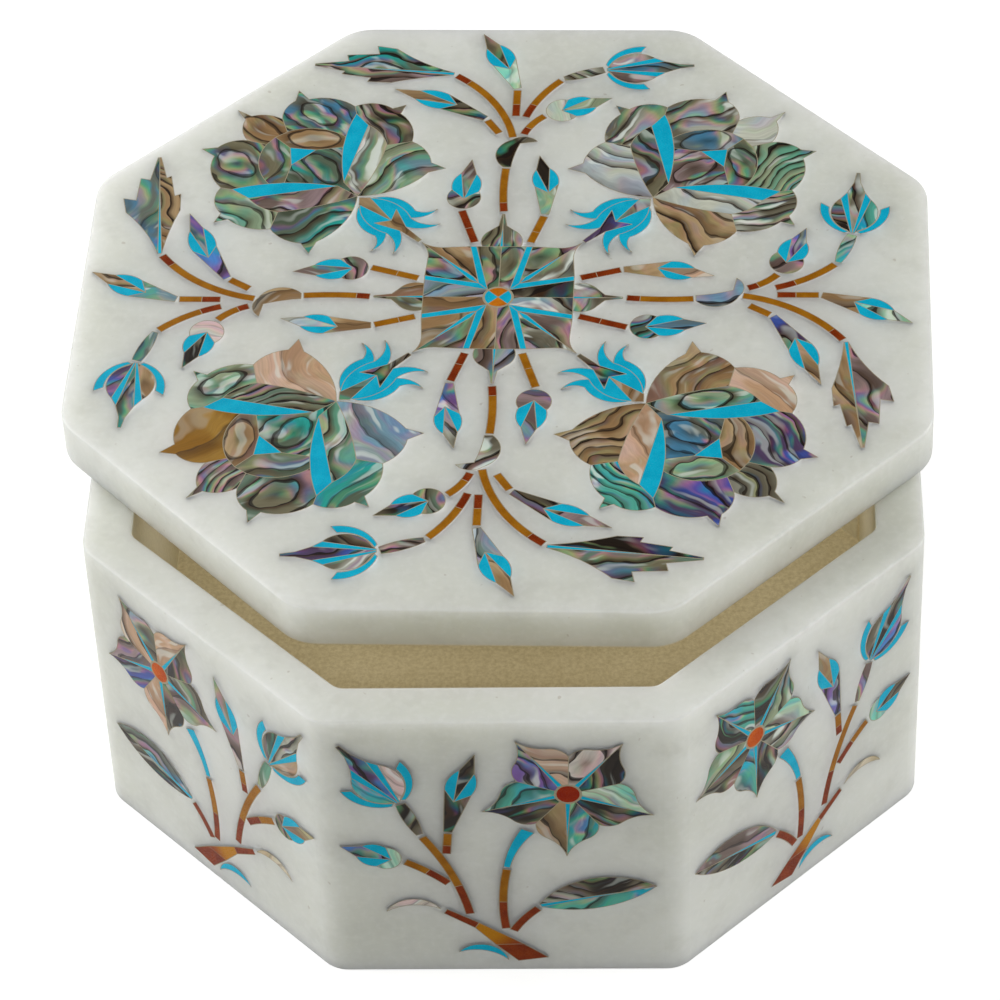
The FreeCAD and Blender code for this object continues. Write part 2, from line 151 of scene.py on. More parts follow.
def face_loops(mesh, surface):
    """The closed outlines, as points in the surface, of the mesh's faces that lie in it."""
    out = Vector(surface.axes[2])
    origin = Vector(surface.origin)
    faces = [face for face in mesh.faces
             if face.normal.dot(out) > LEAST_FACING
             and abs((face.verts[0].co - origin).dot(out)) < LEVEL_TOLERANCE]
    members = set(faces)
    following = {}
    for face in faces:
        for loop in face.loops:
            neighbours = [other.face for other in loop.edge.link_loops if other is not loop]
            if members.isdisjoint(neighbours):
                following.setdefault(loop.vert, []).append(loop.link_loop_next.vert)
    loops = []
    for start in list(following):
        while following[start]:
            loop = [start]
            vert = following[start].pop()
            while vert is not start:
                loop.append(vert)
                vert = following[vert].pop()
            loops.append(surface.flat([point.co for point in loop])[:, :2])
    return loops


def area(loop):
    """The area within an outline, which is below zero where the outline goes round a hollow."""
    x, y = loop[:, 0], loop[:, 1]
    return 0.5 * float(np.sum(x * np.roll(y, -1) - y * np.roll(x, -1)))


def centre(loop):
    x, y = loop[:, 0], loop[:, 1]
    next_x, next_y = np.roll(x, -1), np.roll(y, -1)
    cross = x * next_y - y * next_x
    sums = np.array([np.sum((x + next_x) * cross), np.sum((y + next_y) * cross)])
    return sums / (3 * cross.sum())


def long_axis(loop):
    """The direction in which a chip is longest, downwards."""
    spread = loop - loop.mean(0)
    axis = np.linalg.eigh(spread.T @ spread)[1][:, -1]
    return axis if axis[1] < 0 else -axis


# Pieces

# Chips are sorted by the places of their middles, to so many digits of a metre
PLACE_DIGITS = 6

# Blender's triangulation that fills outlines with faces, and the distance in mm at which points merge
FILLED_OUTLINES = 4
MERGE_DISTANCE = 1e-6


def link_piece(name, mesh, material, body):
    """A new piece let into the marble.  As thin stone does, it lets light through to the marble."""
    mesh.materials.append(material)
    piece = bpy.data.objects.new(name, mesh)
    piece.visible_shadow = False
    bpy.context.scene.collection.objects.link(piece)
    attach(piece, body)
    return piece


def prism_mesh(name, loops, surface, top, bottom):
    """A closed prism for each outline between two heights, its points, and each point's outline."""
    points, faces, owners = [], [], []
    for number, loop in enumerate(loops):
        count = len(loop)
        first = len(points)
        for height in (top, bottom):
            points += [(x, y, height) for x, y in loop]
        owners += [number] * (2 * count)
        faces.append([first + index for index in range(count)])
        faces.append([first + count + index for index in reversed(range(count))])
        for index in range(count):
            after = (index + 1) % count
            faces.append([first + index, first + count + index, first + count + after, first + after])
    mesh = bpy.data.meshes.new(name)
    mesh.from_pydata([tuple(point) for point in surface.solid(points)], [], faces)
    return mesh, np.array(points), np.array(owners)


def add_attribute(mesh, name, kind, values):
    attribute = mesh.attributes.new(name, kind, "POINT")
    field = {"FLOAT_VECTOR": "vector", "FLOAT_COLOR": "color"}[kind]
    attribute.data.foreach_set(field, np.asarray(values, np.float32).ravel())


def chip_piece(node, surface, material, body, style_of):
    """The chips of one CAD node, each with its own grain direction, seed and look."""
    mesh = welded(node)
    loops = face_loops(mesh, surface)
    mesh.free()
    loops.sort(key=lambda loop: tuple(np.round(centre(loop), PLACE_DIGITS)))
    piece_mesh, points, owners = prism_mesh(node + "_inlay", loops, surface, 0.0, -CHIP_DEPTH)
    count = len(points)
    grain = np.zeros((count, 3))
    looks = {"tint": np.zeros((count, 4)), "play": np.zeros((count, 4)), "figure": np.zeros((count, 3))}
    for number, loop in enumerate(loops):
        own = owners == number
        middle = centre(loop)
        style = style_of(node, middle / MM, number)
        axis = long_axis(loop)
        turn = math.radians(style["turn"])
        along = np.array([axis[0] * math.cos(turn) - axis[1] * math.sin(turn),
                          axis[0] * math.sin(turn) + axis[1] * math.cos(turn)])
        across = np.array([-along[1], along[0]])
        offset = (points[own, :2] - middle) / MM
        grain[own, 0] = offset @ along
        grain[own, 1] = offset @ across
        grain[own, 2] = style["seed"] + points[own, 2] / MM
        for name in looks:
            looks[name][own] = style[name]
    add_attribute(piece_mesh, "grain", "FLOAT_VECTOR", grain)
    add_attribute(piece_mesh, "tint", "FLOAT_COLOR", looks["tint"])
    add_attribute(piece_mesh, "play", "FLOAT_COLOR", looks["play"])
    add_attribute(piece_mesh, "figure", "FLOAT_VECTOR", looks["figure"])
    piece = link_piece(node + "_inlay", piece_mesh, material, body)
    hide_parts(node)
    return loops


def cement_piece(name, beds, material, body):
    """The cement of some surfaces: thin slabs in the hollows, which run on unseen within the chips."""
    mesh = bmesh.new()
    for surface, hollows, chip_loops in beds:
        points, edges = [], []
        for loop in hollows + chip_loops:
            first = len(points)
            count = len(loop)
            points += [Vector(point / MM) for point in loop]
            edges += [(first + index, first + (index + 1) % count) for index in range(count)]
        filled = delaunay_2d_cdt(points, edges, [], FILLED_OUTLINES, MERGE_DISTANCE)
        flat_points, _, faces, _, _, _ = filled
        level = surface.solid([(x * MM, y * MM, -CEMENT_SINK) for x, y in flat_points])
        verts = [mesh.verts.new(point) for point in level]
        made = [mesh.faces.new([verts[index] for index in face]) for face in faces]
        lower = bmesh.ops.extrude_face_region(mesh, geom=made)["geom"]
        lower_verts = [item for item in lower if isinstance(item, bmesh.types.BMVert)]
        drop = Vector(surface.axes[2]) * -CEMENT_DEPTH
        bmesh.ops.translate(mesh, verts=lower_verts, vec=drop)
    loose = [vert for vert in mesh.verts if not vert.link_faces]
    bmesh.ops.delete(mesh, geom=loose, context="VERTS")
    bmesh.ops.recalc_face_normals(mesh, faces=mesh.faces)
    data = bpy.data.meshes.new(name)
    mesh.to_mesh(data)
    mesh.free()
    link_piece(name, data, material, body)


# Materials

WHITE = srgb(255, 255, 255)
REFRACTION = 1.5

# Marble: its tones, the depth that light reaches in it, and the shares of that for red, green and blue
MARBLE_GREY = srgb(213, 215, 205)
MARBLE_WHITE = srgb(224, 226, 218)
MARBLE_MOTTLE = srgb(198, 199, 190)
MARBLE_CRYSTAL = srgb(240, 241, 236)
MARBLE_SPECK = srgb(140, 122, 96)
MARBLE_DEPTH = 9.0 * MM
MARBLE_DEPTH_SHARES = (1.0, 0.97, 0.9)

# Raw marble inside the box: its tones, yellower than the polished marble, partly the raw stone's own
# colour and partly painted warm light that the walls let in, and, in mm, where it ends at the walls, under
# the rim and above the underside
PAINTED_WARM_RAW_DARK = srgb(210, 194, 151)
PAINTED_WARM_RAW_PALE = srgb(236, 223, 186)
RAW_REACH = (44.15, 44.5)
RAW_UNDER_RIM = (0.7, 0.3)
RAW_ABOVE_UNDERSIDE = (2.0, 3.0)
RAW_ROUGHNESS = 0.5

# Shell: its colours, the painted shade across a terrace, the painted sheen of its silk, and its painted
# glints
RAINBOW = [(0.0, srgb(126, 86, 180)), (0.2, srgb(28, 160, 200)), (0.4, srgb(84, 216, 160)),
           (0.6, srgb(208, 216, 140)), (0.8, srgb(236, 146, 166)), (1.0, srgb(126, 86, 180))]
PAINTED_TERRACE_SHADE = [(0.0, srgb(176, 170, 162)), (0.55, srgb(240, 240, 238)), (1.0, WHITE)]
PAINTED_SHEEN_SHADES = [(0.3, srgb(226, 226, 226)), (0.7, WHITE)]
PAINTED_GLINT_COLOUR = srgb(238, 246, 236)
SHELL_FRINGE = srgb(68, 45, 26)
SHELL_LINE = srgb(24, 17, 13)

# Shell, in mm: how its growth lines wobble and wind, rings less so, and the half widths and the soft
# edge of a line
WOBBLE = (0.7, 0.7, 0.0)
WINDING = (8.0, 8.0, 0.0)
RING_WINDING = (1.8, 1.8, 0.0)
LINE_WIDTHS = (0.05, 0.22)
LINE_EDGE = 0.06

# Shell: how much faster than the plain grain its figures change along and across a chip
RING_STRETCH = (0.62, 1.15, 0.0)
FILM_STRETCH = (0.5, 1.3, 1.0)
SHEEN_STRETCH = (0.3, 2.4, 1.0)
GLINT_STRETCH = (0.25, 0.8, 1.0)

# Shell: the part of a terrace that is fringe, how much terraces and lines vary, and the rounds of the
# rainbow over the patches and over a terrace
FRINGE_SHARE = 0.42
TERRACE_VARIATION = 0.16
LINE_VARIATION = 0.3
PATCH_ROUNDS = 2.5
TERRACE_ROUNDS = 0.6

# Stone and cement: their colours, and where a graded chip changes its tone, in mm along it
STONE_FLECK = srgb(200, 180, 140)
GRADED_RANGE = (-0.5, 3.0)
CEMENT_DARK = srgb(146, 134, 106)
CEMENT_LIGHT = srgb(178, 168, 142)


class Shader:
    """A material made of nodes.  Node inputs are constants or the outputs of other nodes."""

    def __init__(self, name):
        self.material = bpy.data.materials.new(name)
        self.material.use_nodes = True
        self.tree = self.material.node_tree
        self.tree.nodes.clear()

    def put(self, socket, value):
        if isinstance(value, bpy.types.NodeSocket):
            self.tree.links.new(value, socket)
        else:
            socket.default_value = value

    def node(self, kind, inputs=None, **settings):
        node = self.tree.nodes.new("ShaderNode" + kind)
        for name, value in settings.items():
            setattr(node, name, value)
        for name, value in (inputs or {}).items():
            self.put(node.inputs[name], value)
        return node

    def math(self, operation, *values):
        return self.node("Math", dict(enumerate(values)), operation=operation).outputs[0]

    def times(self, value, *others):
        for other in others:
            value = self.math("MULTIPLY", value, other)
        return value

    def vector_math(self, operation, *values):
        return self.node("VectorMath", dict(enumerate(values)), operation=operation).outputs[0]

    def stretched(self, vector, stretch):
        return self.vector_math("MULTIPLY", vector, stretch)

    def mix(self, share, first, second, blend="MIX"):
        node = self.node("Mix", data_type="RGBA", blend_type=blend)
        for index, value in ((0, share), (6, first), (7, second)):
            self.put(node.inputs[index], value)
        return node.outputs[2]

    def spread(self, value, low, high, to_low=0.0, to_high=1.0):
        """The value mapped smoothly from one range to another."""
        inputs = {"Value": value, "From Min": low, "From Max": high, "To Min": to_low, "To Max": to_high}
        return self.node("MapRange", inputs, interpolation_type="SMOOTHSTEP").outputs[0]

    def ramp(self, value, stops):
        node = self.node("ValToRGB", {"Fac": value})
        elements = node.color_ramp.elements
        while len(elements) < len(stops):
            elements.new(1.0)
        for element, (place, colour) in zip(elements, stops):
            element.position = place
            element.color = colour
        return node.outputs["Color"]

    def noise(self, vector, scale, detail=2.0, roughness=0.5, output="Fac"):
        inputs = {"Vector": vector, "Scale": scale, "Detail": detail, "Roughness": roughness}
        return self.node("TexNoise", inputs).outputs[output]

    def swing(self, vector, scale):
        """A smooth random shift, to both sides of none."""
        shift = self.noise(vector, scale, detail=0.0, output="Color")
        return self.vector_math("SUBTRACT", shift, (0.5, 0.5, 0.5))

    def chance(self, number, seed):
        """A random share of its own for each whole number of each chip."""
        cell = self.node("CombineXYZ", {0: number, 1: seed}).outputs[0]
        return self.node("TexWhiteNoise", {"Vector": cell}).outputs["Value"]

    def parts(self, vector):
        return self.node("SeparateXYZ", {0: vector}).outputs

    def attribute(self, name, output):
        return self.node("Attribute", attribute_name=name).outputs[output]

    def place(self):
        """The point on the part at rest, in mm."""
        inputs = {0: self.node("TexCoord").outputs["Object"], "Scale": 1 / MM}
        return self.node("VectorMath", inputs, operation="SCALE").outputs[0]

    def bump(self, height, strength, distance):
        inputs = {"Height": height, "Strength": strength, "Distance": distance}
        return self.node("Bump", inputs).outputs["Normal"]

    def surface(self, **inputs):
        names = {name.replace("_", " "): value for name, value in inputs.items()}
        shader = self.node("BsdfPrincipled", names)
        self.node("OutputMaterial", {"Surface": shader.outputs[0]})
        return self.material


def raw_share(shader, place):
    """How far the marble at a place in mm is raw: fully inside the box, and not at all outside it."""
    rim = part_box("base_body")[1].z / MM
    x, y, z = shader.parts(place)
    across, deep = (shader.math("ABSOLUTE", value) for value in (x, y))
    slant = shader.times(shader.math("ADD", across, deep), math.sqrt(0.5))
    reach = shader.math("MAXIMUM", shader.math("MAXIMUM", across, deep), slant)
    inside = shader.spread(reach, *RAW_REACH, to_low=1.0, to_high=0.0)
    rim_edge = [rim - depth for depth in RAW_UNDER_RIM]
    under_rim = shader.spread(z, *rim_edge, to_low=1.0, to_high=0.0)
    above_underside = shader.spread(z, *RAW_ABOVE_UNDERSIDE)
    return shader.times(inside, under_rim, above_underside)


def marble_material():
    """White marble with soft clouds, mottles, crystals and a few specks.  Inside, where it is raw, it is
    yellower: partly the raw stone's colour and partly painted warm light.
    """
    shader = Shader("white_marble")
    place = shader.place()
    cloud = shader.noise(place, scale=0.05, detail=3.0)
    crystal = shader.noise(place, scale=1.1)
    speck = shader.noise(place, scale=0.9, detail=1.0)
    mottle = shader.noise(place, scale=0.22, detail=3.0, roughness=0.6)
    colour = shader.mix(shader.spread(cloud, 0.3, 0.7), MARBLE_GREY, MARBLE_WHITE)
    colour = shader.mix(shader.spread(mottle, 0.45, 0.75, to_high=0.4), colour, MARBLE_MOTTLE)
    colour = shader.mix(shader.spread(crystal, 0.4, 0.8, to_high=0.2), colour, MARBLE_CRYSTAL)
    colour = shader.mix(shader.spread(speck, 0.76, 0.82, to_high=0.3), colour, MARBLE_SPECK)

    raw = raw_share(shader, place)
    dust = shader.noise(place, scale=1.8, detail=5.0, roughness=0.75)
    # The yellower colour inside is partly the raw stone's own and partly painted warm light that the walls
    # let in
    raw_colour_and_painted_warmth = shader.mix(shader.spread(dust, 0.28, 0.72), PAINTED_WARM_RAW_DARK, PAINTED_WARM_RAW_PALE)
    colour = shader.mix(raw, colour, raw_colour_and_painted_warmth)

    polish = shader.spread(crystal, 0.3, 0.8, to_low=0.36, to_high=0.46)
    roughness = shader.math("ADD", shader.times(raw, RAW_ROUGHNESS), polish)
    height = shader.math("ADD", cloud, shader.times(crystal, 0.02))
    return shader.surface(Base_Color=colour, Roughness=roughness, IOR=REFRACTION,
                          Subsurface_Weight=shader.math("SUBTRACT", 1.0, raw),
                          Subsurface_Radius=MARBLE_DEPTH_SHARES, Subsurface_Scale=MARBLE_DEPTH,
                          Normal=shader.bump(height, strength=0.06, distance=0.4 * MM))


def shell_material():
    """Abalone: terraces of growth between dark lines that run along the chip or close into rings."""
    shader = Shader("abalone_shell")
    grain = shader.attribute("grain", "Vector")
    tint = shader.node("Attribute", attribute_name="tint").outputs
    play = shader.node("Attribute", attribute_name="play").outputs
    pitch, darkness, ringed = shader.parts(shader.attribute("figure", "Vector"))
    seed = shader.math("ROUND", shader.parts(grain)[2])

    # The count of growth lines up to a point, and how far the point lies across its terrace
    drift = shader.swing(grain, scale=0.13)
    wobble = shader.stretched(shader.swing(grain, scale=0.6), WOBBLE)
    winding = shader.vector_math("ADD", wobble, shader.stretched(drift, WINDING))
    bent = shader.vector_math("ADD", grain, winding)
    closed = shader.vector_math("ADD", wobble, shader.stretched(drift, RING_WINDING))
    oval = shader.stretched(shader.vector_math("ADD", grain, closed), RING_STRETCH)
    ring = shader.node("VectorMath", {0: oval}, operation="LENGTH").outputs["Value"]
    unringed = shader.math("SUBTRACT", 1.0, ringed)
    across_lines = shader.times(shader.parts(bent)[1], unringed)
    reach = shader.math("ADD", shader.times(ring, ringed), across_lines)
    count = shader.math("DIVIDE", reach, pitch)
    level = shader.math("FRACT", count)
    line_chance = shader.chance(shader.math("ROUND", count), seed)
    terrace_chance = shader.chance(shader.math("FLOOR", count), seed)
    beyond_middle = shader.math("MAXIMUM", unringed, shader.math("MINIMUM", count, 1.0))

    # The chip's two tones in patches, with a film of rainbow colours
    variation = shader.times(shader.math("SUBTRACT", terrace_chance, 0.5), TERRACE_VARIATION)
    patch = shader.math("ADD", shader.noise(bent, scale=0.2, detail=1.0), variation)
    colour = shader.mix(shader.spread(patch, 0.4, 0.62), tint["Color"], play["Color"])
    rounds = shader.math("ADD", shader.times(patch, PATCH_ROUNDS), shader.times(level, TERRACE_ROUNDS))
    rainbow = shader.ramp(shader.math("FRACT", rounds), RAINBOW)
    film = shader.noise(shader.stretched(bent, FILM_STRETCH), scale=0.4, detail=1.0)
    film_share = shader.times(play["Alpha"], shader.spread(film, 0.44, 0.62))
    colour = shader.mix(film_share, colour, rainbow)

    # Painted shade across each terrace, as of stepped relief, painted sheen along the lines, and painted
    # pale glints
    painted_terrace_shading = shader.mix(1.0, colour, shader.ramp(level, PAINTED_TERRACE_SHADE), "MULTIPLY")
    colour = shader.mix(darkness, colour, painted_terrace_shading)
    # Painted sheen: pale streaks along the lines, multiplied into the colour; the same streaks also give
    # the bump
    painted_sheen_and_bump = shader.noise(shader.stretched(bent, SHEEN_STRETCH), scale=1.0, detail=2.5, roughness=0.6)
    colour = shader.mix(1.0, colour, shader.ramp(painted_sheen_and_bump, PAINTED_SHEEN_SHADES), "MULTIPLY")
    # Painted glints: pale flecks mixed into the colour
    painted_glint = shader.noise(shader.stretched(bent, GLINT_STRETCH), scale=0.8, detail=1.0)
    painted_glint_share = shader.times(shader.spread(painted_glint, 0.58, 0.7), tint["Alpha"])
    colour = shader.mix(painted_glint_share, colour, PAINTED_GLINT_COLOUR)

    # The brown fringe beside a line, and the line
    fringe = shader.spread(level, 0.0, FRINGE_SHARE, to_low=1.0, to_high=0.0)
    fringe_share = shader.times(fringe, terrace_chance, darkness, beyond_middle)
    colour = shader.mix(fringe_share, colour, SHELL_FRINGE)
    near = shader.times(shader.math("MINIMUM", level, shader.math("SUBTRACT", 1.0, level)), pitch)
    width = shader.spread(shader.noise(grain, scale=0.45, detail=1.0), 0.35, 0.65, *LINE_WIDTHS)
    line = shader.spread(near, width, shader.math("ADD", width, LINE_EDGE), to_low=1.0, to_high=0.0)
    strength = shader.math("ADD", shader.times(line_chance, LINE_VARIATION), 1.0 - LINE_VARIATION)
    line_share = shader.times(line, shader.times(darkness, strength), beyond_middle)
    colour = shader.mix(line_share, colour, SHELL_LINE)
    return shader.surface(Base_Color=colour, Roughness=0.25, IOR=REFRACTION, Specular_IOR_Level=0.12,
                          Normal=shader.bump(painted_sheen_and_bump, strength=0.12, distance=0.1 * MM))


def stone_material(name):
    """A polished stone: the chip's two tones in soft clouds, or from end to end, with fine flecks."""
    shader = Shader(name)
    grain = shader.attribute("grain", "Vector")
    graded = shader.parts(shader.attribute("figure", "Vector"))[2]
    cloud = shader.noise(grain, scale=0.6, detail=3.0, roughness=0.55)
    fleck = shader.noise(grain, scale=5.0, roughness=0.6)
    clouded = shader.times(shader.spread(cloud, 0.3, 0.7), shader.math("SUBTRACT", 1.0, graded))
    along = shader.times(shader.spread(shader.parts(grain)[0], *GRADED_RANGE), graded)
    colour = shader.mix(shader.math("ADD", clouded, along), shader.attribute("tint", "Color"),
                        shader.attribute("play", "Color"))
    colour = shader.mix(shader.spread(fleck, 0.55, 0.8, to_high=0.06), colour, STONE_FLECK)
    roughness = shader.spread(fleck, 0.3, 0.8, to_low=0.25, to_high=0.35)
    return shader.surface(Base_Color=colour, Roughness=roughness, IOR=REFRACTION, Specular_IOR_Level=0.06,
                          Normal=shader.bump(cloud, strength=0.05, distance=0.1 * MM))


def cement_material():
    shader = Shader("cement")
    grit = shader.noise(shader.place(), scale=3.0, detail=3.0, roughness=0.6)
    return shader.surface(Base_Color=shader.mix(grit, CEMENT_DARK, CEMENT_LIGHT), Roughness=0.7)


# How each chip looks

# A tone is two colours, the share of painted pale glints and the share of rainbow colours
TONES = {
    "olive": ((128, 122, 96), (112, 136, 116), 0.35, 0.5),
    "teal": ((98, 112, 92), (44, 168, 156), 0.4, 0.55),
    "blue": ((112, 118, 108), (80, 138, 172), 0.35, 0.55),
    "green": ((164, 178, 144), (116, 180, 150), 0.45, 0.4),
    "silver": ((118, 112, 94), (188, 190, 174), 0.7, 0.45),
    "cream": ((214, 216, 198), (198, 210, 212), 0.5, 0.2),
    "tan": ((162, 128, 88), (194, 166, 124), 0.25, 0.15),
    "peach": ((206, 166, 130), (226, 192, 166), 0.4, 0.08),
    "golden": ((150, 104, 22), (172, 130, 52), 0.15, 0.0),
    "mauve": ((124, 106, 98), (166, 142, 144), 0.35, 0.5),
    "purple": ((90, 72, 104), (70, 92, 176), 0.3, 0.45),
    "lavender": ((166, 164, 180), (132, 172, 190), 0.5, 0.3),
    "dark": ((44, 36, 28), (122, 114, 94), 0.3, 0.4),
    "pearl": ((226, 218, 208), (240, 210, 206), 0.5, 0.15),
    "ivory": ((228, 216, 190), (206, 186, 146), 0.4, 0.05),
    "mint": ((208, 230, 200), (146, 232, 206), 0.6, 0.4),
    "aqua": ((96, 190, 170), (30, 190, 216), 0.6, 0.6),
    "violet": ((140, 104, 176), (84, 146, 222), 0.6, 0.65),
    "turquoise": ((6, 167, 201), (16, 181, 213), 0.0, 0.0),
    "ochre": ((145, 89, 7), (164, 107, 18), 0.0, 0.0),
    "root": ((184, 122, 16), (138, 50, 8), 0.0, 0.0),
    "red": ((114, 37, 4), (138, 55, 10), 0.0, 0.0),
    "carnelian": ((140, 30, 2), (160, 48, 6), 0.0, 0.0),
    "orange": ((184, 72, 8), (206, 96, 16), 0.0, 0.0),
    "amber": ((186, 100, 11), (211, 126, 24), 0.0, 0.0),
}

# A figure is the pitch of a shell's growth lines in mm, their darkness, and whether they close into
# rings.  For stone, the last value says whether the tones go from end to end.
FIGURES = {
    "plain": (7.0, 0.5, 0.0),
    "faint": (1.5, 0.25, 0.0),
    "waves": (3.2, 0.9, 0.0),
    "stripes": (1.5, 0.95, 0.0),
    "eye": (1.9, 0.95, 1.0),
    "graded": (7.0, 0.0, 1.0),
}

# The seeds that a chip may have, and how far its grain may turn from its long axis, in degrees
SEEDS = (10, 999)
GRAIN_TURN = 25

# Rose chips by the places of their middles in mm, counted outwards from the lid's middle
PETALS = {
    "spear": (13.0, 13.0), "fork": (16.8, 16.8), "heart": (23.9, 23.9), "corner": (31.8, 31.8),
    "flank_x": (24.0, 13.6), "side_x": (33.0, 15.8), "leaf_x": (25.6, 18.0), "top_x": (34.5, 24.7),
    "fold_x": (29.7, 25.1), "flank_y": (13.6, 24.0), "side_y": (15.8, 33.0), "leaf_y": (18.0, 25.6),
    "top_y": (24.7, 34.5), "fold_y": (25.1, 29.7),
}
ROSE_LOOKS = {
    "nw": {
        "spear": "tan plain", "fork": "tan plain", "heart": "teal eye", "corner": "tan eye",
        "flank_x": "teal waves", "side_x": "green stripes", "leaf_x": "mauve waves",
        "top_x": "olive eye", "fold_x": "olive waves", "flank_y": "green waves",
        "side_y": "dark stripes", "leaf_y": "silver plain", "top_y": "blue eye", "fold_y": "tan eye",
    },
    "ne": {
        "spear": "purple waves", "fork": "mauve plain", "heart": "mauve eye", "corner": "cream plain",
        "flank_x": "tan waves", "side_x": "silver stripes", "leaf_x": "cream waves",
        "top_x": "green stripes", "fold_x": "olive eye", "flank_y": "cream waves",
        "side_y": "silver waves", "leaf_y": "olive stripes", "top_y": "silver waves", "fold_y": "blue eye",
    },
    "sw": {
        "spear": "dark stripes", "fork": "olive plain", "heart": "teal eye", "corner": "mauve stripes",
        "flank_x": "peach plain", "side_x": "green eye", "leaf_x": "olive stripes",
        "top_x": "golden plain", "fold_x": "tan eye", "flank_y": "lavender plain",
        "side_y": "teal plain", "leaf_y": "green waves", "top_y": "olive eye", "fold_y": "olive waves",
    },
    "se": {
        "spear": "dark waves", "fork": "tan plain", "heart": "blue eye", "corner": "silver stripes",
        "flank_x": "tan waves", "side_x": "peach plain", "leaf_x": "green eye",
        "top_x": "purple waves", "fold_x": "tan stripes", "flank_y": "tan stripes",
        "side_y": "aqua stripes", "leaf_y": "peach plain", "top_y": "purple waves", "fold_y": "green eye",
    },
}

# Branch chips by the places of their middles in mm, outwards from the lid's middle and to the side of
# the toothed leaf.  A branch is given by these two directions.
BRANCHES = {
    "north": ((0, 1), (-1, 0)), "east": ((1, 0), (0, -1)),
    "south": ((0, -1), (1, 0)), "west": ((-1, 0), (0, 1)),
}
TWIGS = {
    "inner_bud_neck": (18.0, 5.2), "inner_bud_tip": (22.4, 4.8), "thin_bud_neck": (18.1, -5.2),
    "thin_bud_tip": (23.4, -4.7), "curl": (27.5, -0.3), "right_bud_neck": (35.3, -6.2),
    "right_bud_tip": (36.8, -10.1), "left_bud_neck": (35.4, 5.9), "left_bud_tip": (38.2, 11.5),
    "end_bud_neck": (42.4, 0.3), "end_bud_tip": (47.6, 2.5), "lotus_neck": (42.7, -9.4),
    "lotus_left": (42.1, -15.5), "lotus_right": (45.7, -15.2), "lotus_tip": (44.1, -18.5),
    "leaf_inner": (42.6, 17.1), "leaf_outer": (45.2, 16.7),
}
BRANCH_LOOKS = {
    "north": {
        "inner_bud_neck": "silver stripes", "inner_bud_tip": "mauve plain",
        "thin_bud_neck": "green plain", "thin_bud_tip": "dark waves", "curl": "dark stripes",
        "right_bud_neck": "cream plain", "right_bud_tip": "green plain",
        "left_bud_neck": "dark stripes", "left_bud_tip": "tan plain",
        "end_bud_neck": "mint faint", "end_bud_tip": "dark waves", "lotus_neck": "silver stripes",
        "lotus_left": "mauve waves", "lotus_right": "silver waves", "lotus_tip": "blue stripes",
        "leaf_inner": "mauve stripes", "leaf_outer": "teal stripes",
    },
    "east": {
        "inner_bud_neck": "teal stripes", "inner_bud_tip": "blue waves",
        "thin_bud_neck": "tan plain", "thin_bud_tip": "peach plain", "curl": "lavender waves",
        "right_bud_neck": "mauve waves", "right_bud_tip": "violet plain",
        "left_bud_neck": "purple waves", "left_bud_tip": "tan waves",
        "end_bud_neck": "tan waves", "end_bud_tip": "mint stripes", "lotus_neck": "aqua waves",
        "lotus_left": "dark stripes", "lotus_right": "aqua waves", "lotus_tip": "silver waves",
        "leaf_inner": "tan waves", "leaf_outer": "mauve waves",
    },
    "south": {
        "inner_bud_neck": "mauve plain", "inner_bud_tip": "mauve plain",
        "thin_bud_neck": "violet plain", "thin_bud_tip": "silver stripes", "curl": "silver waves",
        "right_bud_neck": "olive waves", "right_bud_tip": "dark waves",
        "left_bud_neck": "dark stripes", "left_bud_tip": "mauve waves",
        "end_bud_neck": "lavender waves", "end_bud_tip": "tan plain", "lotus_neck": "mauve stripes",
        "lotus_left": "dark waves", "lotus_right": "silver plain", "lotus_tip": "purple stripes",
        "leaf_inner": "dark waves", "leaf_outer": "olive waves",
    },
    "west": {
        "inner_bud_neck": "mauve stripes", "inner_bud_tip": "mauve plain",
        "thin_bud_neck": "tan plain", "thin_bud_tip": "cream plain", "curl": "tan waves",
        "right_bud_neck": "pearl faint", "right_bud_tip": "dark stripes",
        "left_bud_neck": "violet waves", "left_bud_tip": "purple waves",
        "end_bud_neck": "green plain", "end_bud_tip": "tan stripes", "lotus_neck": "blue waves",
        "lotus_left": "tan eye", "lotus_right": "purple waves", "lotus_tip": "teal waves",
        "leaf_inner": "tan stripes", "leaf_outer": "blue plain",
    },
}

